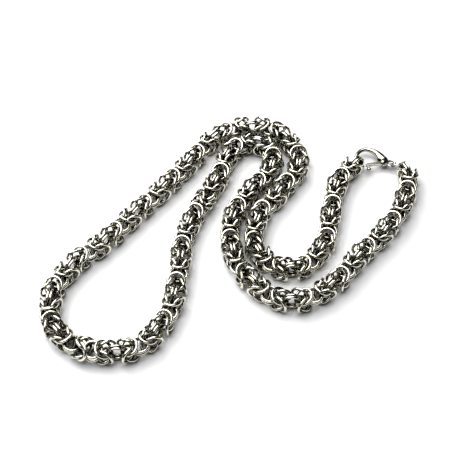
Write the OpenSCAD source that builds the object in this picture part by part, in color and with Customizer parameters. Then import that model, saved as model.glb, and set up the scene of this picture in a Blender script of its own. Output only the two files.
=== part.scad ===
// A Byzantine weave neck chain of round steel wire, closed by a lobster clasp,
// lying loosely folded on a flat surface. Millimetres, +Z up, origin under the
// middle of the chain's bounding box.

/* [Wire and links] */
// Diameter of the wire that every link is bent from
wire_d = 1; // [0.9:0.05:1.05]
// Outer diameter of one round link
link_od = 6.86; // [6.7:0.02:6.9]
// Clear gap between the two links of an end pair
pair_gap = 0.1; // [0.06:0.02:0.2]
// Height of an end pair's centre above the surface
pair_z = 3.6; // [3.5:0.05:3.7]

/* [Chain] */
// Width and height of the finished weave
chain_w = 8.1; // [7.8:0.1:8.1]
// Sides of the plain tube that stands for the woven links
chain_sides = 12; // [8:4:12]
// Gap between the weave and the end pair that it hangs on
end_gap = 0.35; // [0.3:0.05:0.5]

/* [Clasp] */
// Height of the clasp's middle plane above the surface
clasp_z = 2.75; // [2.7:0.05:2.8]
// Thickness of the clasp's base across its two cheeks
base_t = 3; // [2.6:0.1:3.2]
// Thickness of the lever
lever_t = 1; // [0.9:0.05:1.1]
// Gap between the lever and each cheek
lever_gap = 0.12; // [0.08:0.02:0.2]
// Diameter of the rivet that the lever turns on
rivet_d = 0.8; // [0.7:0.05:0.9]
// Radial clearance of the rivet in the lever
rivet_fit = 0.05; // [0.02:0.01:0.08]
// Outer diameter of the clasp's eye
eye_od = 3.6; // [3.5:0.05:3.7]
// Diameter of the eye's round wire
eye_wire = 0.8; // [0.7:0.05:0.85]

/* [Jump ring] */
// Outer diameter of the ring that joins the clasp to the chain
jump_od = 6; // [5.9:0.05:6.1]
// Diameter of the jump ring's wire
jump_wire = 0.8; // [0.7:0.05:0.8]

/* [Hidden] */
$fn = 48;

// The chain's route on the surface, one point for each full repeat of the weave.
// It starts at the end pair that the hook holds and ends at the pair on the jump ring.
route = [
    [44.5, 31.5], [37, 21.5], [33.5, 7], [29.5, -8], [18.5, -17], [7, -9.5],
    [7, 4.5], [15.5, 17.5], [23, 30.5], [18.5, 44], [6, 50], [-8, 44.5],
    [-17.5, 32], [-26.5, 20], [-36.5, 8], [-46.5, -4.5], [-57.5, -15.5], [-63.5, -29],
    [-60, -42], [-47.5, -49.5], [-32.5, -47.5], [-23.5, -35], [-20.5, -19.5], [-19, -4],
    [-14, 10], [-7, 23.5], [-2.5, 36.5], [8, 41.5], [13.5, 31.5], [6, 19.5],
    [-1.5, 6], [-2, -9], [5, -22.5], [18, -30], [32, -23.5], [42, -11.5],
    [52.5, 0], [60.5, 13.5], [62.5, 28.5]];
// Compass directions of the route at its two ends, in degrees
start_turn = 216;
end_turn = 118;
// Route numbers where the two halves of the chain meet
half_at = 19;
last_at = len(route) - 1;
// Rings of the tube to each repeat of the weave
steps = 2;

link_r = (link_od - wire_d) / 2;
pair_off = (wire_d + pair_gap) / 2;
end_reach = link_od / 2 + end_gap;
chain_r = chain_w / 2 / cos(180 / chain_sides);

// The clasp stands in a frame of its own: eye at the origin, hook towards -X
clasp_at = [58, 32.5];
clasp_turn = 6;
rivet_at = [-3.1, 0.5];
slot_t = lever_t + 2 * lever_gap;
eye_r = (eye_od - eye_wire) / 2;
// The base is cut away inside this radius, so that the eye's ring stands clear
eye_cut_r = eye_r - eye_wire / 3;
// Radial gap between the rivet and the cheeks
rivet_seat = 0.02;
// Rounded lumps of the base: x, y, half sizes along X and Y, share of the base's thickness
base_lumps = [[rivet_at.x, rivet_at.y, 1.3, 1.25, 1], [-1.5, 0.5, 0.9, 0.95, 0.77],
              [-2.2, 2.1, 1.2, 1.3, 0.95]];
// Space that the lever needs between the cheeks, about the rivet: disc and outline
slot_r = 1.15;
slot_outline = [[0, -slot_r], [-3.4, -slot_r], [-3.4, 2.4], [-0.9, 2.1], [0, slot_r]];
claw_sides = 16;
// Rounding of the claw's free end: push along the claw and share of its section
claw_tip = [[0.3, 0.8], [0.45, 0.45]];
// Claw from the base over the arch to the tip: x, y, half width, half thickness
claw = [
    [-2.0, 1.5, 1.15, 1.30], [-3.2, 3.0, 1.70, 1.45], [-4.0, 4.6, 1.52, 1.35],
    [-5.05, 6.15, 1.06, 1.12], [-6.6, 7.35, 0.88, 0.95], [-8.3, 7.9, 0.80, 0.87],
    [-10.1, 7.5, 0.76, 0.80], [-11.6, 6.3, 0.75, 0.78], [-12.6, 4.6, 0.74, 0.76],
    [-12.95, 2.9, 0.72, 0.74], [-12.6, 1.3, 0.70, 0.72], [-11.85, 0.1, 0.66, 0.70],
    [-10.9, -0.35, 0.55, 0.62]];
// Lever, seen from above: end half width, root half width and reach from the rivet
lever_tip_w = 0.42;
lever_root_w = 0.85;
lever_reach = 6.65;
lever_turn = 183;
// Length of the lever's bevelled tip, and radius of the knob's stem
lever_bevel = 0.25;
knob_stem_r = lever_t / 3;
// Thumb knob of the lever: place along the lever, stand-off and ball radius
knob_along = 5.9;
knob_off = 2.1;
knob_r = 0.8;

jump_r = (jump_od - jump_wire) / 2;
jump_at = [60.4, 31.25, 3.05];
// How far the jump ring leans over, and the compass direction that it leans to
jump_lean = 48;
jump_turn = 70;

function unit(v) = v / norm(v);
function heading(a) = [cos(a), sin(a)];
// Direction of the route at point i
function way(i) = i == 0 ? heading(start_turn)
    : i == last_at ? heading(end_turn) : unit(route[i + 1] - route[i - 1]);
// A span's speed is that of the circular arc through its two ends
function speed(i) = let (bend = sqrt(max(0, (1 + way(i) * way(i + 1)) / 2)))
    2 * norm(route[i + 1] - route[i]) / (1 + bend);
// Point on the route, u counted in repeats
function spot(u) = let (i = min(floor(u), last_at - 1), f = u - i, m = speed(i))
    (2 * f^3 - 3 * f^2 + 1) * route[i] + (f^3 - 2 * f^2 + f) * m * way(i)
    + (3 * f^2 - 2 * f^3) * route[i + 1] + (f^3 - f^2) * m * way(i + 1);
function slope(u) = let (h = 0.01) unit(spot(min(u + h, last_at)) - spot(max(u - h, 0)));
// Rings of a tube: one for each place u, flat side down
function tube_ring(u) = let (p = spot(u), t = slope(u), n = [-t.y, t.x])
    [for (k = [0:chain_sides - 1]) let (a = 360 / chain_sides * (k + 0.5))
        [p.x + n.x * chain_r * cos(a), p.y + n.y * chain_r * cos(a),
         chain_w / 2 + chain_r * sin(a)]];
// Skin over rings of equal count, closed at both ends
function skin(rings) = let (c = len(rings), s = len(rings[0])) concat(
    [[for (k = [0:s - 1]) k]],
    [for (i = [0:c - 2], k = [0:s - 1]) let (n = (k + 1) % s)
        [i * s + k, (i + 1) * s + k, (i + 1) * s + n, i * s + n]],
    [[for (k = [s - 1:-1:0]) (c - 1) * s + k]]);

module swept(rings) {
    polyhedron(points = [for (r = rings) each r], faces = skin(rings), convexity = 8);
}

// First and last place of the woven part, end_reach away from each end pair
first_u = end_reach / speed(0);
last_u = last_at - end_reach / speed(last_at - 1);

module woven(u0, u1) {
    count = round((u1 - u0) * steps);
    color("silver")
        swept([for (i = [0:count]) tube_ring(u0 + (u1 - u0) * i / count)]);
}

module link(r, wire) {
    rotate_extrude() translate([r, 0]) circle(d = wire);
}

// One link of an end pair, standing upright along the route
module end_link(at, turn, side) {
    color("silver")
        translate([at.x, at.y, pair_z])
            rotate([0, 0, turn]) translate([0, side * pair_off, 0])
                rotate([90, 0, 0]) link(link_r, wire_d);
}

module in_clasp() {
    translate([clasp_at.x, clasp_at.y, clasp_z]) rotate([0, 0, clasp_turn]) children();
}

function claw_way(i) = let (a = claw[max(i - 1, 0)], b = claw[min(i + 1, len(claw) - 1)])
    unit([b[0] - a[0], b[1] - a[1]]);
function claw_ring(i, w, t, push) = let (p = claw[i], d = claw_way(i))
    [for (k = [0:claw_sides - 1]) let (a = 360 / claw_sides * k)
        [p[0] + d.x * push - d.y * w * cos(a), p[1] + d.y * push + d.x * w * cos(a),
         t * sin(a)]];

// The claw's swept bow, with its free end rounded off
module claw_bow() {
    last = len(claw) - 1;
    w = claw[last][2];
    t = claw[last][3];
    swept(concat(
        [for (i = [0:last]) claw_ring(i, claw[i][2], claw[i][3], 0)],
        [for (end = claw_tip) claw_ring(last, end[1] * w, end[1] * t, end[0])]));
}

// The base: two cheeks in one rounded body, before the slot is cut
module base_lump() {
    hull()
        for (b = base_lumps)
            translate([b[0], b[1], 0]) scale([b[2], b[3], b[4] * base_t / 2])
                sphere(r = 1, $fn = 32);
}

// Space that the lever needs between the cheeks, shut and open
module lever_slot() {
    linear_extrude(slot_t, center = true)
        union() {
            circle(r = slot_r);
            polygon(slot_outline);
        }
}

module clasp_body() {
    color("gainsboro") in_clasp() {
        difference() {
            union() {
                claw_bow();
                base_lump();
            }
            translate([rivet_at.x, rivet_at.y, 0]) lever_slot();
            translate([rivet_at.x, rivet_at.y, -base_t])
                cylinder(d = rivet_d + 2 * rivet_seat, h = 2 * base_t);
            cylinder(r = eye_cut_r, h = 2 * base_t, center = true);
        }
        link(eye_r, eye_wire);
    }
}

module clasp_rivet() {
    color("gainsboro") in_clasp()
        translate([rivet_at.x, rivet_at.y, -base_t / 2])
            cylinder(d = rivet_d, h = base_t);
}

module clasp_lever() {
    color("gainsboro") in_clasp() translate([rivet_at.x, rivet_at.y, 0])
        rotate([0, 0, lever_turn]) {
            difference() {
                linear_extrude(lever_t, center = true) polygon([
                    [0, -lever_root_w], [lever_reach - lever_bevel, -lever_tip_w],
                    [lever_reach, -lever_tip_w / 2], [lever_reach, lever_tip_w / 2],
                    [lever_reach - lever_bevel, lever_tip_w], [0, lever_root_w]]);
                cylinder(d = rivet_d + 2 * rivet_fit, h = 2 * lever_t, center = true);
            }
            difference() {
                cylinder(r = lever_root_w, h = lever_t, center = true);
                cylinder(d = rivet_d + 2 * rivet_fit, h = 2 * lever_t, center = true);
            }
            translate([knob_along, lever_tip_w, 0]) rotate([-90, 0, 0])
                cylinder(r = knob_stem_r, h = knob_off - knob_r);
            translate([knob_along, knob_off, 0]) sphere(r = knob_r);
        }
}

module jump_ring() {
    color("gainsboro") translate(jump_at)
        rotate([0, jump_lean, jump_turn]) link(jump_r, jump_wire);
}

woven(first_u, half_at);  // chain_a
woven(half_at, last_u);  // chain_b
end_link(route[0], start_turn, 1);  // end_link_a1
end_link(route[0], start_turn, -1);  // end_link_a2
end_link(route[last_at], end_turn, 1);  // end_link_b1
end_link(route[last_at], end_turn, -1);  // end_link_b2
jump_ring();
clasp_body();
clasp_rivet();
clasp_lever();
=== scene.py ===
import math

import bmesh
import bpy
import numpy as np
from bpy.props import FloatProperty, FloatVectorProperty, IntProperty, PointerProperty
from mathutils import Matrix, Vector


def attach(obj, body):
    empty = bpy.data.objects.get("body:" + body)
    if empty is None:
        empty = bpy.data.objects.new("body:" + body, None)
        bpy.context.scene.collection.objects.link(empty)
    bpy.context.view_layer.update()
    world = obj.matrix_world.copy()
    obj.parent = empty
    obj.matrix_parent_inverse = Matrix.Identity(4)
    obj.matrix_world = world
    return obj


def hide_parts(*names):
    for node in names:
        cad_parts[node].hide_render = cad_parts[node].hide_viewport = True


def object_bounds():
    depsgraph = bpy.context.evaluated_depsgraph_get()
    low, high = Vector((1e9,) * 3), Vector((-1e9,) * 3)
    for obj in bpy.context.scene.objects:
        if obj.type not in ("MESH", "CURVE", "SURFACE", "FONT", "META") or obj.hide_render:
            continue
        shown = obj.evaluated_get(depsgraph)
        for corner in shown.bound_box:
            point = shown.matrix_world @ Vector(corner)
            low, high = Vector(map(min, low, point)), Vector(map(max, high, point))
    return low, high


bl_info = {
    "name": "Byzantine neck chain",
    "version": (1, 0, 0),
    "blender": (4, 5, 0),
    "location": "3D View > Sidebar > Neck chain",
    "description": "Builds a Byzantine weave neck chain with a lobster clasp around its frame",
    "category": "Add Mesh",
}

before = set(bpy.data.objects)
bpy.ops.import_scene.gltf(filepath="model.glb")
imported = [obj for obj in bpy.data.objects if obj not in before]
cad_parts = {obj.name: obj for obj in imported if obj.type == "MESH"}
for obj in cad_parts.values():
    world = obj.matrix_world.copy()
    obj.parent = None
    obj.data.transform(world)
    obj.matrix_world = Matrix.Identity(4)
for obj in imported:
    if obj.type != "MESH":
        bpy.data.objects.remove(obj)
CAD_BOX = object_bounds()

MM = 0.001
BODY = "necklace"
LEVER_BODY = "lever"

# The chain's route on the floor in millimetres, one point for each full repeat of the weave
ROUTE = [
    (44.5, 31.5), (37, 21.5), (33.5, 7), (29.5, -8), (18.5, -17), (7, -9.5),
    (7, 4.5), (15.5, 17.5), (23, 30.5), (18.5, 44), (6, 50), (-8, 44.5),
    (-17.5, 32), (-26.5, 20), (-36.5, 8), (-46.5, -4.5), (-57.5, -15.5), (-63.5, -29),
    (-60, -42), (-47.5, -49.5), (-32.5, -47.5), (-23.5, -35), (-20.5, -19.5), (-19, -4),
    (-14, 10), (-7, 23.5), (-2.5, 36.5), (8, 41.5), (13.5, 31.5), (6, 19.5),
    (-1.5, 6), (-2, -9), (5, -22.5), (18, -30), (32, -23.5), (42, -11.5),
    (52.5, 0), (60.5, 13.5), (62.5, 28.5),
]
# Compass directions of the route at its two ends, in degrees
START_TURN = 216
END_TURN = 118
LAST = len(ROUTE) - 1
# Stretches where the chain is twisted by a quarter turn: from, to, sense
TWISTS = [(18.45, 19.15, 1), (23.9, 24.65, -1)]
# Route number where the second half of the chain starts
HALF_AT = 19

# The clasp in a frame of its own, in millimetres: eye at the origin, hook towards -X
CLASP_AT = (58, 32.5, 2.75)
CLASP_TURN = 6
# Claw from the base over the arch to the tip: x, y, half width, half thickness
CLAW = [
    (-2.0, 1.5, 1.15, 1.30), (-3.2, 3.0, 1.70, 1.45), (-4.0, 4.6, 1.52, 1.35),
    (-5.05, 6.15, 1.06, 1.12), (-6.6, 7.35, 0.88, 0.95), (-8.3, 7.9, 0.80, 0.87),
    (-10.1, 7.5, 0.76, 0.80), (-11.6, 6.3, 0.75, 0.78), (-12.6, 4.6, 0.74, 0.76),
    (-12.95, 2.9, 0.72, 0.74), (-12.6, 1.3, 0.70, 0.72), (-11.85, 0.1, 0.66, 0.70),
    (-10.9, -0.35, 0.55, 0.62),
]
# Rounded lumps that make the base: x, y, then half sizes along X, Y and Z
BASE_LUMPS = [
    (-3.1, 0.5, 1.30, 1.25, 1.50),
    (-1.5, 0.5, 0.90, 0.95, 1.15),
    (-2.2, 2.1, 1.20, 1.30, 1.43),
]
RIVET_AT = (-3.1, 0.5)
# Rings on the claw's rounded tip: how far past its last row, as shares of its half width
CLAW_TIP = (0.35, 0.65, 0.88, 0.98)
# Rounds of smoothing after the cuts in a cast piece
POLISH_ROUNDS = 4

# The fine closed joint of a ring: millimetres from its middle, share of the wire's thickness
JOINT = [(-0.05, 1.0), (-0.02, 0.985), (0.0, 0.93), (0.02, 0.985), (0.05, 1.0)]
# Seeds of the random draws: how links stray, how the end links and the jump ring are turned
STRAY_SEED = 11
END_SEED = 40
JUMP_SEED = 3


class WeaveSizes(bpy.types.PropertyGroup):
    """Sizes of the woven links."""

    wire: FloatProperty(
        name="Wire", description="Diameter of the links' wire",
        default=1.0 * MM, unit="LENGTH")
    link: FloatProperty(
        name="Link", description="Outer diameter of one link",
        default=6.86 * MM, unit="LENGTH")
    width: FloatProperty(
        name="Width", description="Width and height of the weave",
        default=8.1 * MM, unit="LENGTH")
    repeat: FloatProperty(
        name="Repeat", description="Length of one full repeat of the weave, pulled straight",
        default=15.4 * MM, unit="LENGTH")
    fold: FloatProperty(
        name="Fold", description="Angle between a folded-back link and the chain's line",
        default=math.radians(30.8), subtype="ANGLE")
    inset: FloatProperty(
        name="Inset", description="From a pair's centre to the near end of a folded-back link",
        default=1.76 * MM, unit="LENGTH")
    pair_off: FloatProperty(
        name="Pair offset", description="From the chain's line to each link of a pair",
        default=0.52 * MM, unit="LENGTH")
    end_off: FloatProperty(
        name="End pair offset", description="The same for the two pairs at the chain's ends",
        default=0.55 * MM, unit="LENGTH")
    end_height: FloatProperty(
        name="End height", description="Height of an end pair's centre above the floor",
        default=3.6 * MM, unit="LENGTH")
    tightest: FloatProperty(
        name="Tightest repeat", description="Smallest share of its length that a repeat is pushed to",
        default=0.9, subtype="FACTOR")
    slack: FloatProperty(
        name="Slack", description="Clear gap that settled links keep",
        default=0.03 * MM, unit="LENGTH")
    shift: FloatProperty(
        name="Shift", description="How far a link strays from its regular place",
        default=0.06 * MM, unit="LENGTH")
    lean: FloatProperty(
        name="Lean", description="How far a link leans from its regular direction",
        default=math.radians(2.2), subtype="ANGLE")
    ring_steps: IntProperty(
        name="Ring steps", description="Sections around one link", default=36)
    wire_steps: IntProperty(
        name="Wire steps", description="Sides of the links' wire", default=12)


class ClaspSizes(bpy.types.PropertyGroup):
    """Sizes of the lobster clasp and the jump ring."""

    eye: FloatProperty(
        name="Eye", description="Outer diameter of the clasp's eye",
        default=3.6 * MM, unit="LENGTH")
    eye_wire: FloatProperty(
        name="Eye wire", description="Diameter of the eye's round section",
        default=0.8 * MM, unit="LENGTH")
    base: FloatProperty(
        name="Base", description="Thickness of the base across its cheeks",
        default=3.0 * MM, unit="LENGTH")
    lever: FloatProperty(
        name="Lever", description="Thickness of the lever", default=1.0 * MM, unit="LENGTH")
    lever_gap: FloatProperty(
        name="Lever gap", description="Gap between the lever and each cheek",
        default=0.12 * MM, unit="LENGTH")
    rivet: FloatProperty(
        name="Rivet", description="Diameter of the rivet", default=0.8 * MM, unit="LENGTH")
    jump: FloatProperty(
        name="Jump ring", description="Outer diameter of the jump ring",
        default=6.0 * MM, unit="LENGTH")
    jump_wire: FloatProperty(
        name="Jump wire", description="Diameter of the jump ring's wire",
        default=0.8 * MM, unit="LENGTH")
    grain: FloatProperty(
        name="Grain", description="Voxel size that the cast pieces are rounded at",
        default=0.055 * MM, unit="LENGTH")


class SteelFinish(bpy.types.PropertyGroup):
    """Colours and gloss of the polished steel, and the shade painted into its recesses."""

    wire_colour: FloatVectorProperty(
        name="Wire", description="Steel of the links", subtype="COLOR", size=3,
        default=(0.78, 0.765, 0.675))
    cast_colour: FloatVectorProperty(
        name="Cast steel", description="Steel of the clasp", subtype="COLOR", size=3,
        default=(0.56, 0.55, 0.49))
    # Painted shade: the steel is darkened towards this colour in recesses, between links and near the
    # floor, wherever ambient occlusion finds it closed in
    painted_shade_colour: FloatVectorProperty(
        name="Recess", description="Dulled steel in the recesses", subtype="COLOR", size=3,
        default=(0.02, 0.018, 0.011))
    # Reach of the ambient occlusion that places the painted shade
    painted_shade_reach: FloatProperty(
        name="Recess reach", description="How far a neighbour darkens a surface",
        default=3.5 * MM, unit="LENGTH")
    gloss: FloatProperty(
        name="Roughness", description="Roughness of the polish", default=0.16,
        subtype="FACTOR")


class StageSizes(bpy.types.PropertyGroup):
    """Camera, floor and lights."""

    target: FloatVectorProperty(
        name="Target", description="Point on the floor that the camera looks at",
        subtype="XYZ", unit="LENGTH", size=3, default=(-4.5 * MM, 5.5 * MM, 0.0))
    distance: FloatProperty(
        name="Distance", description="From the camera to its target",
        default=371.9 * MM, unit="LENGTH")
    elevation: FloatProperty(
        name="Elevation", description="Camera's angle above the floor",
        default=math.radians(52.45), subtype="ANGLE")
    lens: FloatProperty(
        name="Lens", description="Focal length on a 36 mm wide sensor", default=82.24)
    floor: FloatProperty(
        name="Floor", description="Width of the floor", default=3.0, unit="LENGTH")
    floor_colour: FloatVectorProperty(
        name="Floor colour", description="Pale floor", subtype="COLOR", size=3,
        default=(0.81, 0.81, 0.814))


def unit(v):
    """The vector at length one."""
    return v / np.linalg.norm(v)


def ring_radius(outer, wire):
    """Radius in millimetres of a ring's middle line, from two diameters in metres."""
    return (outer - wire) / 2 / MM


def compass(degrees):
    """Flat unit vector at a compass direction."""
    return np.array([math.cos(math.radians(degrees)), math.sin(math.radians(degrees))])


def route_way(i):
    """Direction of the route at one of its points."""
    if i == 0:
        return compass(START_TURN)
    if i == LAST:
        return compass(END_TURN)
    return unit(np.subtract(ROUTE[i + 1], ROUTE[i - 1]))


def route_point(u):
    """Point on the route, u counted in repeats; a span's speed is that of a circular arc."""
    i = min(int(u), LAST - 1)
    f = u - i
    a, b = np.array(ROUTE[i], float), np.array(ROUTE[i + 1], float)
    wa, wb = route_way(i), route_way(i + 1)
    speed = 2 * np.linalg.norm(b - a) / (1 + math.sqrt(max(0, (1 + wa @ wb) / 2)))
    return ((2 * f**3 - 3 * f**2 + 1) * a + (f**3 - 2 * f**2 + f) * speed * wa
            + (3 * f**2 - 2 * f**3) * b + (f**3 - f**2) * speed * wb)


class Route:
    """The chain's line by length, and where along it each repeat lies."""

    # Points of the line to each repeat
    STEPS = 40
    # Rounds in which repeats that are too short push their ends apart
    PUSHES = 400
    # Millimetres ahead and behind between which a direction is taken
    SIGHT = 0.3

    def __init__(self, repeat, tightest):
        count = LAST * self.STEPS + 1
        self.points = np.array([route_point(n / self.STEPS) for n in range(count)])
        spans = np.linalg.norm(np.diff(self.points, axis=0), axis=1)
        self.lengths = np.r_[0, np.cumsum(spans)]
        self.places = self.lengths[::self.STEPS].copy()
        self.spread(tightest * repeat)

    def spread(self, shortest):
        """Pushes repeats apart along the route until none is shorter than the shortest."""
        for _ in range(self.PUSHES):
            push = np.clip(shortest - np.diff(self.places), 0, None) / 2
            move = np.zeros(LAST + 1)
            move[:-1] -= push
            move[1:] += push
            move[[0, -1]] = 0
            self.places += move

    def place(self, u):
        """Length along the route at repeat u."""
        return np.interp(u, np.arange(LAST + 1), self.places)

    def number(self, length):
        """Repeat number at a length along the route."""
        return np.interp(length, self.places, np.arange(LAST + 1))

    def flat(self, length):
        """Point of the line at a length."""
        return np.array([np.interp(length, self.lengths, self.points[:, k]) for k in (0, 1)])

    def axes(self, length, height):
        """Centre, line, side and face directions of the weave at a length."""
        end = self.lengths[-1]
        if 0 <= length <= end:
            centre = self.flat(length)
            ahead, behind = min(length + self.SIGHT, end), max(length - self.SIGHT, 0)
            line = unit(self.flat(ahead) - self.flat(behind))
        else:
            near = 0 if length < 0 else LAST
            line = route_way(near)
            centre = np.array(ROUTE[near]) + line * (length - (0 if near == 0 else end))
        t = np.array([line[0], line[1], 0.0])
        left = np.array([-t[1], t[0], 0.0])
        up = np.cross(t, left)
        r = twist(self.number(length))
        face = math.cos(r) * up + math.sin(r) * left
        return np.array([centre[0], centre[1], height]), t, np.cross(face, t), face


def twist(u):
    """Angle that the weave has turned through at repeat u."""
    angle = 0
    for start, end, sense in TWISTS:
        f = np.clip((u - start) / (end - start), 0, 1)
        angle += sense * math.pi / 2 * f * f * (3 - 2 * f)
    return angle


class Links:
    """Centres, normals and half-repeat numbers of all links, in millimetres."""

    def __init__(self):
        self.centres, self.normals, self.numbers, self.ends = [], [], [], []

    def add(self, centre, normal, number, end=False):
        self.centres.append(centre)
        self.normals.append(unit(normal))
        self.numbers.append(number)
        self.ends.append(end)

    def freeze(self):
        self.centres = np.array(self.centres)
        self.normals = np.array(self.normals)
        self.numbers = np.array(self.numbers)
        self.ends = np.array(self.ends)


def lay_links(sizes):
    """Places each link where the weave's pattern has it.

    Every half repeat has a pair of links side by side on the chain's line, and links folded
    back over both faces of the pair, two towards each end. The next pair stands square to it.
    """
    radius = ring_radius(sizes.link, sizes.wire)
    inset, fold = sizes.inset / MM, sizes.fold
    half = sizes.repeat / MM / 2
    middle = sizes.width / MM / 2
    route = Route(sizes.repeat / MM, sizes.tightest)
    links = Links()
    last = 2 * LAST
    for k in range(last + 1):
        end = k in (0, last)
        here = route.place(k / 2)
        near_end = max(0, 1 - min(k, last - k))
        height = middle + (sizes.end_height / MM - middle) * near_end
        centre, line, side, face = route.axes(here, height)
        across = side if k % 2 == 0 else face
        off = (sizes.end_off if end else sizes.pair_off) / MM
        for sign in (1, -1):
            links.add(centre + across * sign * off, across, k, end)
        for way in (1, -1):
            if 0 <= k + way <= last:
                pitch = abs(route.place((k + way) / 2) - here)
                along = (inset + radius * math.cos(fold)) * min(1, pitch / half)
                centre, line, side, face = route.axes(here + way * along, height)
                out, across = (face, side) if k % 2 == 0 else (side, face)
                for sign in (1, -1):
                    slope = way * math.cos(fold) * line + sign * math.sin(fold) * out
                    lift = sign * (sizes.pair_off / MM + radius * math.sin(fold))
                    links.add(centre + out * lift, np.cross(slope, across), k)
    links.freeze()
    return links


def stray(links, sizes):
    """Gives each free link a small shift and lean of its own."""
    random = np.random.default_rng(STRAY_SEED)
    free = (~links.ends)[:, None]
    count = len(links.centres)
    links.centres += random.normal(0, sizes.shift / MM, (count, 3)) * free
    links.normals += random.normal(0, sizes.lean, (count, 3)) * free
    links.normals /= np.linalg.norm(links.normals, axis=1, keepdims=True)


def cross_axes(normals):
    """Two unit vectors in the plane of each ring."""
    helper = np.where(np.abs(normals[:, 2:]) < 0.9, [[0, 0, 1.0]], [[1.0, 0, 0]])
    first = np.cross(normals, helper)
    first /= np.linalg.norm(first, axis=1, keepdims=True)
    return first, np.cross(normals, first)


def add_up(index, values, count):
    """Sums rows of values by index."""
    return np.stack([np.bincount(index, values[:, k], count) for k in range(3)], axis=1)


# How touching rings are pushed apart: rounds, points measured on each ring, rounds between
# two searches for neighbours, and how much further than one ring a search reaches
SETTLE_ROUNDS = 60
SETTLE_POINTS = 36
SEARCH_EVERY = 10
SEARCH_MARGIN = 0.6
# How far a ring follows its mean push and its mean turn in a round, and the box's own weight
MOVE_SHARE = 1.2
TURN_SHARE = 1.8
BOX_WEIGHT = 2
# These keep a division from a zero
TINY = 1e-9
LEAST_WEIGHT = 1e-6


def neighbours(centres, reach):
    """Pairs of rings whose centres are nearer than a reach, each pair both ways round."""
    apart = ((centres[:, None] - centres[None]) ** 2).sum(-1)
    return np.where((apart < reach**2) & ~np.eye(len(centres), dtype=bool))


def settle(links, sizes, low, high):
    """Pushes rings that touch apart as rigid pieces, within the box from low to high.

    Points on each ring are measured against its neighbours' circles. A point that is nearer
    than one wire moves and turns both rings by its share. The end pairs stay where they are.
    """
    wire, radius = sizes.wire / MM, ring_radius(sizes.link, sizes.wire)
    wanted = wire + sizes.slack / MM
    low, high = np.array(low) + wire / 2, np.array(high) - wire / 2
    count = len(links.centres)
    free = (~links.ends).astype(float)
    turn = np.linspace(0, 2 * math.pi, SETTLE_POINTS, endpoint=False)
    cos, sin = np.cos(turn)[None, :, None], np.sin(turn)[None, :, None]
    c, n = links.centres, links.normals
    for step in range(SETTLE_ROUNDS):
        if step % SEARCH_EVERY == 0:
            a, b = neighbours(c, 2 * radius + wire + SEARCH_MARGIN)
        first, second = cross_axes(n)
        points = c[:, None] + radius * (cos * first[:, None] + sin * second[:, None])
        offset = points[a] - c[b][:, None]
        above = np.einsum("ijk,ik->ij", offset, n[b])
        flat = offset - above[..., None] * n[b][:, None]
        flat *= (radius / (np.linalg.norm(flat, axis=2) + TINY))[..., None]
        gap = offset - flat
        distance = np.linalg.norm(gap, axis=2) + TINY
        pair, sample = np.where(distance < wanted)
        depth = (wanted - distance[pair, sample])[:, None]
        push = gap[pair, sample] / distance[pair, sample][:, None] * depth
        ra, rb = a[pair], b[pair]
        share = (free[ra] / (free[ra] + free[rb] + TINY))[:, None]
        on_a, on_b = push * depth * share, -push * depth * (1 - share)
        arm_a = points[ra, sample] - c[ra]
        arm_b = flat[pair, sample]
        move = add_up(ra, on_a, count) + add_up(rb, on_b, count)
        torque = add_up(ra, np.cross(arm_a, on_a), count) + add_up(rb, np.cross(arm_b, on_b), count)
        weight = np.bincount(ra, depth[:, 0], count) + np.bincount(rb, depth[:, 0], count)
        under, over = np.clip(low - points, 0, None), np.clip(points - high, 0, None)
        lift = BOX_WEIGHT * (under**2 - over**2)
        move += lift.sum(1)
        torque += np.cross(points - c[:, None], lift).sum(1)
        weight += BOX_WEIGHT * (under + over).sum((1, 2))
        weight = np.maximum(weight, LEAST_WEIGHT)[:, None]
        c = c + MOVE_SHARE * move / weight * free[:, None]
        n = n + np.cross(TURN_SHARE * torque / weight / radius**2 * free[:, None], n)
        n /= np.linalg.norm(n, axis=1, keepdims=True)
    links.centres, links.normals = c, n


def ring_rows(radius, wire, ring_steps):
    """Angle and wire radius of each section of a ring, with its joint at angle zero."""
    rows = [(along / radius, wire / 2 * share) for along, share in JOINT]
    start = rows[-1][0]
    span = 2 * math.pi - 2 * start
    rows += [(start + span * k / ring_steps, wire / 2) for k in range(1, ring_steps)]
    return rows


def smooth(mesh):
    """Shades all faces of a mesh smooth."""
    mesh.polygons.foreach_set("use_smooth", np.ones(len(mesh.polygons), bool))


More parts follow.
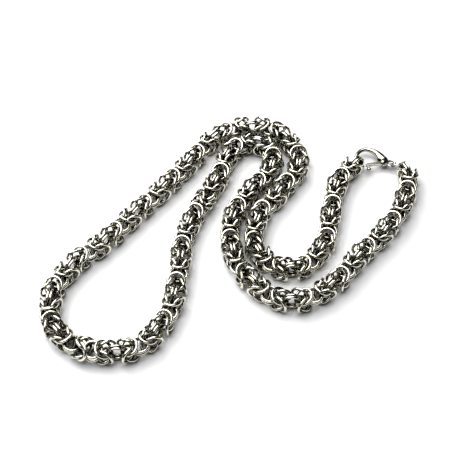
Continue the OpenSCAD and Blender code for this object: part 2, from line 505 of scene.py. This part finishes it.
def rings_mesh(name, centres, normals, radius, wire, ring_steps, wire_steps, seed):
    """One mesh of closed rings of round wire, each turned by its own angle about its axis."""
    random = np.random.default_rng(seed)
    rows = ring_rows(radius, wire, ring_steps)
    angles = np.array([r[0] for r in rows])[None, :, None, None]
    thick = np.array([r[1] for r in rows])[None, :, None, None]
    around = np.linspace(0, 2 * math.pi, wire_steps, endpoint=False)[None, None, :, None]
    normals = np.asarray(normals, float)
    first, second = cross_axes(normals)
    spin = random.uniform(0, 2 * math.pi, len(centres))[:, None]
    first, second = (first * np.cos(spin) + second * np.sin(spin),
                     second * np.cos(spin) - first * np.sin(spin))
    out = first[:, None, None] * np.cos(angles) + second[:, None, None] * np.sin(angles)
    points = (np.asarray(centres)[:, None, None] + out * (radius + thick * np.cos(around))
              + normals[:, None, None] * thick * np.sin(around))
    count, sections = len(centres), len(rows)
    index = np.arange(count * sections * wire_steps).reshape(count, sections, wire_steps)
    after, beside = np.roll(index, -1, axis=1), np.roll(index, -1, axis=2)
    corner = np.roll(after, -1, axis=2)
    faces = np.stack([index, after, corner, beside], axis=-1).reshape(-1, 4)
    mesh = bpy.data.meshes.new(name)
    mesh.from_pydata((points.reshape(-1, 3) * MM).tolist(), [], faces.tolist())
    tone = random.uniform(0, 1, count)
    attribute = mesh.attributes.new("link_tone", "FLOAT", "POINT")
    attribute.data.foreach_set("value", np.repeat(tone, sections * wire_steps).astype(np.float32))
    smooth(mesh)
    mesh.update()
    return mesh


def put(name, data):
    """Puts an object that shows a mesh, a light or a camera into the scene."""
    made = bpy.data.objects.new(name, data)
    bpy.context.scene.collection.objects.link(made)
    return made


def add_piece(name, mesh, body, material, node):
    """Puts a finished mesh into the scene as a piece that rides on a body."""
    if not mesh.polygons:
        raise RuntimeError(f"The mesh of {name} has no faces")
    piece = put(name, mesh)
    mesh.materials.clear()
    mesh.materials.append(material)
    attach(piece, body)
    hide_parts(node)


# Sockets of a colour mix: its two colours and its result
MIX_A = 6
MIX_B = 7
MIX_RESULT = 2
# Openness at which a surface gets the full painted shade, and at which it gets none
FULL_PAINTED_SHADE_AT = 0.30
NO_PAINTED_SHADE_AT = 0.82
# Samples of the ambient occlusion that places the painted shade
PAINTED_SHADE_SAMPLES = 6
# Between which shares the steel's colour and its roughness vary
TONES = (0.90, 1.06)
POLISH = (0.65, 1.6)
# Scale and detail of the clouds in the polish and of the marks that it leaves
CLOUDS = {"Scale": 420.0, "Detail": 3.0}
MARKS = {"Scale": 2600.0, "Detail": 2.0}
MARK_DEPTH = {"Strength": 0.10, "Distance": 0.02 * MM}


def add_node(material, kind, values):
    """A new shader node, with values set on its own sockets."""
    made = material.node_tree.nodes.new("ShaderNode" + kind)
    for socket, value in values.items():
        made.inputs[socket].default_value = value
    return made


def mix_colours(material, first, second):
    """A new shader node that mixes two colours."""
    made = add_node(material, "Mix", {})
    made.data_type = "RGBA"
    made.inputs[MIX_A].default_value = (*first, 1)
    made.inputs[MIX_B].default_value = (*second, 1)
    return made


def steel(name, colour, settings, toned):
    """Polished steel with shade painted into its recesses, and faint polishing marks.

    Its tone varies from link to link where it is toned, and in soft clouds elsewhere.
    """
    found = bpy.data.materials.get(name)
    if found:
        return found
    material = bpy.data.materials.new(name)
    material.use_nodes = True
    wires = material.node_tree.links
    shader = material.node_tree.nodes["Principled BSDF"]
    shader.inputs["Metallic"].default_value = 1.0
    place = add_node(material, "TexCoord", {})

    # Painted shade: where ambient occlusion finds the surface closed in by neighbours or the floor,
    # the base colour is darkened towards the shade colour
    shade_occlusion = add_node(material, "AmbientOcclusion", {"Distance": settings.painted_shade_reach})
    shade_occlusion.samples = PAINTED_SHADE_SAMPLES
    reach = add_node(material, "MapRange", {"From Min": FULL_PAINTED_SHADE_AT, "From Max": NO_PAINTED_SHADE_AT})
    wires.new(shade_occlusion.outputs["AO"], reach.inputs["Value"])

    cloud = add_node(material, "TexNoise", CLOUDS)
    wires.new(place.outputs["Object"], cloud.inputs["Vector"])
    dark, light = [[min(1.0, share * x) for x in colour] for share in TONES]
    tint = mix_colours(material, dark, light)
    if toned:
        tone = add_node(material, "Attribute", {})
        tone.attribute_name = "link_tone"
        wires.new(tone.outputs["Fac"], tint.inputs[0])
    else:
        wires.new(cloud.outputs["Fac"], tint.inputs[0])

    # The toned steel mixed towards the painted shade colour where the surface is closed in
    painted_shade = mix_colours(material, settings.painted_shade_colour, colour)
    wires.new(reach.outputs["Result"], painted_shade.inputs[0])
    wires.new(tint.outputs[MIX_RESULT], painted_shade.inputs[MIX_B])
    wires.new(painted_shade.outputs[MIX_RESULT], shader.inputs["Base Color"])

    low, high = [settings.gloss * share for share in POLISH]
    rough = add_node(material, "MapRange", {"To Min": low, "To Max": high})
    wires.new(cloud.outputs["Fac"], rough.inputs["Value"])
    wires.new(rough.outputs["Result"], shader.inputs["Roughness"])

    marks = add_node(material, "TexNoise", MARKS)
    wires.new(place.outputs["Object"], marks.inputs["Vector"])
    bump = add_node(material, "Bump", MARK_DEPTH)
    wires.new(marks.outputs["Fac"], bump.inputs["Height"])
    wires.new(bump.outputs["Normal"], shader.inputs["Normal"])
    return material


def wire_steel(scene):
    """The steel of the links, each with a tone of its own."""
    settings = scene.chain_steel
    return steel("polished_wire_steel", settings.wire_colour, settings, True)


def cast_steel(scene):
    """The steel of the clasp and the jump ring."""
    settings = scene.chain_steel
    return steel("polished_cast_steel", settings.cast_colour, settings, False)


class CHAIN_OT_weave(bpy.types.Operator):
    """Weave the links of the whole chain and lay them along the route"""

    bl_idname = "chain.weave"
    bl_label = "Weave the chain"

    # Half repeats at which the four pieces of woven links start, and their end
    QUARTERS = [0, HALF_AT, 2 * HALF_AT, 3 * HALF_AT, 2 * LAST + 1]
    ENDS = ["end_link_a1", "end_link_a2", "end_link_b1", "end_link_b2"]

    def execute(self, context):
        sizes = context.scene.chain_weave
        links = lay_links(sizes)
        stray(links, sizes)
        settle(links, sizes, CAD_BOX[0] / MM, CAD_BOX[1] / MM)
        radius, wire = ring_radius(sizes.link, sizes.wire), sizes.wire / MM
        for part in range(4):
            name = f"woven_links_{part + 1}"
            chosen = links.numbers >= self.QUARTERS[part]
            chosen &= links.numbers < self.QUARTERS[part + 1]
            chosen &= ~links.ends
            mesh = rings_mesh(
                name, links.centres[chosen], links.normals[chosen], radius, wire,
                sizes.ring_steps, sizes.wire_steps, part)
            add_piece(name, mesh, BODY, wire_steel(context.scene),
                      "chain_a" if part < 2 else "chain_b")
        for node, which in zip(self.ENDS, np.where(links.ends)[0]):
            mesh = rings_mesh(
                node + "_ring", links.centres[[which]], links.normals[[which]], radius, wire,
                2 * sizes.ring_steps, 2 * sizes.wire_steps, END_SEED + which)
            add_piece(node + "_ring", mesh, BODY, wire_steel(context.scene), node)
        return {"FINISHED"}


class CHAIN_OT_jump_ring(bpy.types.Operator):
    """Make the jump ring that joins the clasp's eye to the chain"""

    bl_idname = "chain.jump_ring"
    bl_label = "Jump ring"

    # Place in millimetres, then the lean and compass direction of the ring's axis
    CENTRE = (60.4, 31.25, 3.05)
    LEAN = 48
    TURN = 70
    RING_STEPS = 96
    WIRE_STEPS = 28

    def execute(self, context):
        sizes = context.scene.chain_clasp
        lean, flat = math.radians(self.LEAN), compass(self.TURN)
        normal = [math.sin(lean) * flat[0], math.sin(lean) * flat[1], math.cos(lean)]
        mesh = rings_mesh(
            "jump_ring_round", [self.CENTRE], [normal], ring_radius(sizes.jump, sizes.jump_wire),
            sizes.jump_wire / MM, self.RING_STEPS, self.WIRE_STEPS, JUMP_SEED)
        add_piece("jump_ring_round", mesh, BODY, cast_steel(context.scene),
                  "jump_ring")
        return {"FINISHED"}


def spline_rows(table, steps):
    """Smooth rows through a table's rows, several to each span."""
    rows = np.array(table, float)
    padded = np.vstack([2 * rows[0] - rows[1], rows, 2 * rows[-1] - rows[-2]])
    out = []
    for i in range(1, len(rows)):
        a, b, c, d = padded[i - 1:i + 3]
        for f in np.linspace(0, 1, steps, endpoint=False):
            out.append(0.5 * (2 * b + (c - a) * f + (2 * a - 5 * b + 4 * c - d) * f**2
                              + (3 * b - a - 3 * c + d) * f**3))
    out.append(rows[-1])
    return np.array(out)


def skin(bm, one, two):
    """Faces between two closed rows of vertices."""
    for k in range(len(one)):
        n = (k + 1) % len(one)
        bm.faces.new((one[k], two[k], two[n], one[n]))


def circle_points(x, y, r, steps=40):
    """Points of a circle."""
    turns = [2 * math.pi * k / steps for k in range(steps)]
    return [(x + r * math.cos(turn), y + r * math.sin(turn)) for turn in turns]


def claw_mesh(bm):
    """The claw's swept bow with a rounded free end."""
    sides, steps = 28, 6
    rows = spline_rows(CLAW, steps)
    tip = rows[-1]
    ways = np.gradient(rows[:, :2], axis=0)
    ways /= np.linalg.norm(ways, axis=1, keepdims=True)
    rows = [(*row, 0.0) for row in rows]
    for share in CLAW_TIP:
        size = math.sqrt(1 - share**2)
        rows.append((tip[0], tip[1], tip[2] * size, tip[3] * size, share * tip[2]))
    rings = []
    for i, (x, y, wide, thick, push) in enumerate(rows):
        way = ways[min(i, len(ways) - 1)]
        ring = []
        for k in range(sides):
            a = 2 * math.pi * k / sides
            ring.append(bm.verts.new((
                x + way[0] * push - way[1] * wide * math.cos(a),
                y + way[1] * push + way[0] * wide * math.cos(a), thick * math.sin(a))))
        rings.append(ring)
    for one, two in zip(rings, rings[1:]):
        skin(bm, one, two)
    bm.faces.new(rings[0])
    bm.faces.new(rings[-1][::-1])


def ball(bm, around, up, radius=1.0):
    """The vertices of a new ball at the origin, with so many faces around and up."""
    return bmesh.ops.create_uvsphere(bm, u_segments=around, v_segments=up, radius=radius)["verts"]


def base_mesh(bm):
    """The base: one rounded skin round its lumps."""
    verts = []
    for x, y, rx, ry, rz in BASE_LUMPS:
        made = ball(bm, 40, 24)
        for v in made:
            v.co = Vector((x + rx * v.co.x, y + ry * v.co.y, rz * v.co.z))
        verts += made
    hull = bmesh.ops.convex_hull(bm, input=verts)
    inner = [e for e in hull["geom_interior"] if isinstance(e, bmesh.types.BMVert)]
    bmesh.ops.delete(bm, geom=inner, context="VERTS")


def torus_mesh(bm, radius, wire, ring_steps=64, wire_steps=24):
    """A round ring in the XY plane."""
    rings = []
    for i in range(ring_steps):
        a = 2 * math.pi * i / ring_steps
        ring = []
        for k in range(wire_steps):
            b = 2 * math.pi * k / wire_steps
            r = radius + wire / 2 * math.cos(b)
            ring.append(bm.verts.new((r * math.cos(a), r * math.sin(a), wire / 2 * math.sin(b))))
        rings.append(ring)
    for one, two in zip(rings, rings[1:] + rings[:1]):
        skin(bm, one, two)


def prism_mesh(bm, outline, low, high):
    """An outline drawn up from one height to another."""
    bottom = [bm.verts.new((x, y, low)) for x, y in outline]
    top = [bm.verts.new((x, y, high)) for x, y in outline]
    bm.faces.new(bottom[::-1])
    bm.faces.new(top)
    for k in range(len(outline)):
        n = (k + 1) % len(outline)
        bm.faces.new((bottom[k], bottom[n], top[n], top[k]))


def fill_mesh(name, makers):
    """A mesh in millimetres that the makers fill."""
    bm = bmesh.new()
    for maker in makers:
        maker(bm)
    bmesh.ops.recalc_face_normals(bm, faces=bm.faces)
    mesh = bpy.data.meshes.new(name)
    bm.to_mesh(mesh)
    bm.free()
    return mesh


def prism_tool(name, outline, half):
    """A temporary prism to cut with, as tall below the clasp's middle as above it."""
    return put(name, fill_mesh(name, [lambda bm: prism_mesh(bm, outline, -half, half)]))


def take_shape(piece):
    """The mesh that an object has with its modifiers applied."""
    bpy.context.view_layer.update()
    graph = bpy.context.evaluated_depsgraph_get()
    return bpy.data.meshes.new_from_object(piece.evaluated_get(graph))


def subtract(shape, tool, crossing=False):
    """Cuts a shape with a tool; crossing says that the shape's own shells overlap."""
    cut = shape.modifiers.new("cut", "BOOLEAN")
    cut.operation = "DIFFERENCE"
    cut.solver = "EXACT"
    cut.use_self = crossing
    cut.object = tool


def fuse(shape, grain, rounds):
    """Fuses a shape's shells at a voxel size and smooths it for so many rounds."""
    voxels = shape.modifiers.new("fuse", "REMESH")
    voxels.mode = "VOXEL"
    voxels.voxel_size = grain
    soften = shape.modifiers.new("soften", "SMOOTH")
    soften.factor = 0.5
    soften.iterations = rounds


def cast(name, shape, tools, grain, rounds):
    """Fuses overlapping shells, cuts them, and rounds every edge as casting and polishing do."""
    fuse(shape, grain, rounds)
    for tool in tools:
        subtract(shape, tool)
    fuse(shape, grain, POLISH_ROUNDS)
    mesh = take_shape(shape)
    mesh.name = name
    for used in [shape, *tools]:
        bpy.data.objects.remove(used)
    smooth(mesh)
    return mesh


def in_clasp(mesh):
    """Moves a mesh from the clasp's own frame in millimetres into the model's, in metres."""
    place = Matrix.Translation(Vector(CLASP_AT) * MM)
    turn = Matrix.Rotation(math.radians(CLASP_TURN), 4, "Z")
    mesh.transform(place @ turn @ Matrix.Scale(MM, 4))
    mesh.update()
    return mesh


class CHAIN_OT_clasp_body(bpy.types.Operator):
    """Cast the clasp's claw, base and eye in one piece, with a slot for the lever"""

    bl_idname = "chain.clasp_body"
    bl_label = "Clasp body"

    # The slot between the cheeks, about the rivet: radius of its disc, outline of its wedge
    SLOT_R = 1.15
    SLOT_OUTLINE = [(0, -1.15), (-3.4, -1.15), (-3.4, 2.4), (-0.9, 2.1), (0, 1.15)]
    # The base is drilled inside the eye's middle line by one part in this many of its wire
    EYE_CUT = 3
    ROUNDS = 6

    def drilled_shell(self, eye_r, eye_wire, tall):
        """The claw and base as one shell, cut clear of the eye's bore."""
        solid = put("clasp_shell", fill_mesh("clasp_shell", [claw_mesh, base_mesh]))
        drill = prism_tool(
            "eye_drill", circle_points(0, 0, eye_r - eye_wire / self.EYE_CUT), tall)
        subtract(solid, drill, crossing=True)
        mesh = take_shape(solid)
        for used in (solid, drill):
            bpy.data.objects.remove(used)
        return mesh

    def execute(self, context):
        sizes = context.scene.chain_clasp
        eye_r, eye_wire = ring_radius(sizes.eye, sizes.eye_wire), sizes.eye_wire / MM
        slot = (sizes.lever + 2 * sizes.lever_gap) / 2 / MM
        x, y = RIVET_AT
        base = self.drilled_shell(eye_r, eye_wire, sizes.base / MM)
        eye = fill_mesh("clasp_eye", [lambda bm: torus_mesh(bm, eye_r, eye_wire)])
        join = bmesh.new()
        join.from_mesh(base)
        join.from_mesh(eye)
        join.to_mesh(base)
        join.free()
        disc = prism_tool("slot_disc", circle_points(x, y, self.SLOT_R), slot)
        wedge = prism_tool("slot_wedge", [(x + a, y + b) for a, b in self.SLOT_OUTLINE], slot)
        mesh = cast("clasp_claw", put("clasp_shape", base), [disc, wedge], sizes.grain / MM,
                    self.ROUNDS)
        add_piece("clasp_claw", in_clasp(mesh), BODY, cast_steel(context.scene),
                  "clasp_body")
        return {"FINISHED"}


class CHAIN_OT_rivet(bpy.types.Operator):
    """Turn the rivet, with a low domed head on each cheek"""

    bl_idname = "chain.rivet"
    bl_label = "Rivet"

    # The head's profile: share of the rivet's radius, height above the cheek
    HEAD = [(0.6, 0.0), (0.95, -0.05), (1.0, -0.12)]
    DOME = 0.02

    def execute(self, context):
        sizes = context.scene.chain_clasp
        r, half = sizes.rivet / 2 / MM, sizes.base / 2 / MM
        x, y = RIVET_AT
        head = [(share * r, half + above) for share, above in self.HEAD]
        profile = head + [(p, -q) for p, q in head[::-1]]

        def pin(bm):
            rings = []
            for p, q in profile:
                rings.append([bm.verts.new((a, b, q)) for a, b in circle_points(x, y, p)])
            for one, two in zip(rings, rings[1:]):
                skin(bm, one, two)
            for ring, q in ((rings[0], half + self.DOME), (rings[-1], -half - self.DOME)):
                tip = bm.verts.new((x, y, q))
                for one, two in zip(ring, ring[1:] + ring[:1]):
                    bm.faces.new((one, two, tip))

        mesh = fill_mesh("clasp_rivet_pin", [pin])
        smooth(mesh)
        add_piece("clasp_rivet_pin", in_clasp(mesh), BODY,
                  cast_steel(context.scene), "clasp_rivet")
        return {"FINISHED"}


class CHAIN_OT_lever(bpy.types.Operator):
    """Shape the sprung lever with its thumb knob"""

    bl_idname = "chain.lever"
    bl_label = "Lever"

    # Half widths at tip and rivet, length, length of the tip's bevel, direction from the rivet
    TIP_W = 0.42
    ROOT_W = 0.85
    REACH = 6.65
    BEVEL = 0.25
    TURN = 183
    # The knob's ball, and its stem's radii as shares of the lever's half thickness
    KNOB_ALONG = 5.9
    KNOB_OFF = 2.1
    KNOB_R = 0.8
    STEM_FOOT = 0.9
    STEM_NECK = 0.62
    # Clear gap round the rivet
    FIT = 0.05
    # The lever's voxels against the clasp's, and its rounds of smoothing
    FINER = 0.9
    ROUNDS = 4

    def blade(self):
        """Outline of the flat lever, from the rivet to its bevelled tip."""
        side = [(self.REACH, self.TIP_W / 2), (self.REACH - self.BEVEL, self.TIP_W),
                (0, self.ROOT_W)]
        return [(x, -y) for x, y in side[::-1]] + side

    def knob(self, bm):
        """The ball under the thumb."""
        for v in ball(bm, 32, 20, self.KNOB_R):
            v.co += Vector((self.KNOB_ALONG, self.KNOB_OFF, 0))

    def stem(self, bm, half):
        """The cone that carries the ball."""
        made = bmesh.ops.create_cone(
            bm, cap_ends=True, segments=24, radius1=half * self.STEM_FOOT,
            radius2=half * self.STEM_NECK, depth=self.KNOB_OFF)["verts"]
        for v in made:
            v.co = Vector((self.KNOB_ALONG + v.co.x, self.KNOB_OFF / 2 + v.co.z, v.co.y))

    def execute(self, context):
        sizes = context.scene.chain_clasp
        half = sizes.lever / 2 / MM
        shape = put("lever_shape", fill_mesh("lever_shape", [
            lambda bm: prism_mesh(bm, self.blade(), -half, half),
            lambda bm: prism_mesh(bm, circle_points(0, 0, self.ROOT_W), -half, half),
            self.knob,
            lambda bm: self.stem(bm, half)]))
        bore = sizes.rivet / 2 / MM + self.FIT
        drill = prism_tool("lever_drill", circle_points(0, 0, bore), 2 * half)
        mesh = cast("clasp_lever_arm", shape, [drill], sizes.grain / MM * self.FINER, self.ROUNDS)
        place = Matrix.Translation((*RIVET_AT, 0))
        mesh.transform(place @ Matrix.Rotation(math.radians(self.TURN), 4, "Z"))
        add_piece("clasp_lever_arm", in_clasp(mesh), LEVER_BODY,
                  cast_steel(context.scene), "clasp_lever")
        return {"FINISHED"}


def add_light(name, at, side, power, target):
    """A soft square light that faces a point."""
    light = bpy.data.lights.new(name, "AREA")
    light.shape = "SQUARE"
    light.size = side
    light.energy = power
    lamp = put(name, light)
    lamp.location = at
    lamp.rotation_euler = (target - Vector(at)).to_track_quat("-Z", "Y").to_euler()


class CHAIN_OT_stage(bpy.types.Operator):
    """Set the camera, the pale floor and the soft lights"""

    bl_idname = "chain.stage"
    bl_label = "Stage"

    SENSOR_WIDTH = 36
    NEAREST = 0.01
    FLOOR_ROUGHNESS = 0.6
    FLOOR_SPECULAR = 0.2
    SKY_COLOUR = (0.92, 0.95, 1.0, 1)
    SKY_STRENGTH = 0.03
    # Name, place and side in metres, power in watts
    LIGHTS = [
        ("softbox", (-0.2, 0.15, 0.6), 1.0, 8.0),
        ("key", (-0.35, 0.35, 0.75), 0.12, 0.5),
    ]

    def set_camera(self, scene, stage):
        """The camera at its distance and angle, facing its target."""
        back = Vector((0, -math.cos(stage.elevation), math.sin(stage.elevation)))
        camera = put("camera", bpy.data.cameras.new("camera"))
        camera.data.sensor_width = self.SENSOR_WIDTH
        camera.data.lens = stage.lens
        camera.data.clip_start = self.NEAREST
        camera.location = Vector(stage.target) + back * stage.distance
        camera.rotation_euler = (-back).to_track_quat("-Z", "Y").to_euler()
        scene.camera = camera

    def lay_floor(self, stage):
        """A wide pale floor."""
        bm = bmesh.new()
        bmesh.ops.create_grid(bm, x_segments=2, y_segments=2, size=stage.floor / 2)
        mesh = bpy.data.meshes.new("floor")
        bm.to_mesh(mesh)
        bm.free()
        floor = put("floor", mesh)
        paper = bpy.data.materials.new("pale_floor")
        paper.use_nodes = True
        shader = paper.node_tree.nodes["Principled BSDF"]
        shader.inputs["Base Color"].default_value = (*stage.floor_colour, 1)
        shader.inputs["Roughness"].default_value = self.FLOOR_ROUGHNESS
        shader.inputs["Specular IOR Level"].default_value = self.FLOOR_SPECULAR
        mesh.materials.append(paper)

    def light_up(self, scene, stage):
        """A dim sky and the soft lights."""
        world = scene.world or bpy.data.worlds.new("world")
        scene.world = world
        world.use_nodes = True
        sky = world.node_tree.nodes["Background"]
        sky.inputs["Color"].default_value = self.SKY_COLOUR
        sky.inputs["Strength"].default_value = self.SKY_STRENGTH
        for name, at, side, power in self.LIGHTS:
            add_light(name, at, side, power, Vector(stage.target))

    def execute(self, context):
        scene = context.scene
        self.set_camera(scene, scene.chain_stage)
        self.lay_floor(scene.chain_stage)
        self.light_up(scene, scene.chain_stage)
        scene.view_settings.view_transform = "Standard"
        scene.view_settings.look = "High Contrast"
        return {"FINISHED"}


class CHAIN_PT_panel(bpy.types.Panel):
    """Lists the pieces of the neck chain"""

    bl_idname = "CHAIN_PT_panel"
    bl_label = "Neck chain"
    bl_space_type = "VIEW_3D"
    bl_region_type = "UI"
    bl_category = "Neck chain"

    def draw(self, context):
        for operator in OPERATORS:
            self.layout.operator(operator.bl_idname)
        for group in ("chain_weave", "chain_clasp", "chain_steel", "chain_stage"):
            settings = getattr(context.scene, group)
            column = self.layout.column()
            for name in settings.__annotations__:
                column.prop(settings, name)


OPERATORS = (CHAIN_OT_stage, CHAIN_OT_weave, CHAIN_OT_jump_ring, CHAIN_OT_clasp_body,
             CHAIN_OT_rivet, CHAIN_OT_lever)
GROUPS = {
    "chain_weave": WeaveSizes,
    "chain_clasp": ClaspSizes,
    "chain_steel": SteelFinish,
    "chain_stage": StageSizes,
}


def register():
    for group in GROUPS.values():
        bpy.utils.register_class(group)
    for name, group in GROUPS.items():
        setattr(bpy.types.Scene, name, PointerProperty(type=group))
    for operator in OPERATORS:
        bpy.utils.register_class(operator)
    bpy.utils.register_class(CHAIN_PT_panel)


def unregister():
    bpy.utils.unregister_class(CHAIN_PT_panel)
    for operator in reversed(OPERATORS):
        bpy.utils.unregister_class(operator)
    for name, group in reversed(list(GROUPS.items())):
        delattr(bpy.types.Scene, name)
        bpy.utils.unregister_class(group)


def main():
    register()
    bpy.ops.chain.stage()
    bpy.ops.chain.weave()
    bpy.ops.chain.jump_ring()
    bpy.ops.chain.clasp_body()
    bpy.ops.chain.rivet()
    bpy.ops.chain.lever()


if __name__ == "__main__":
    main()
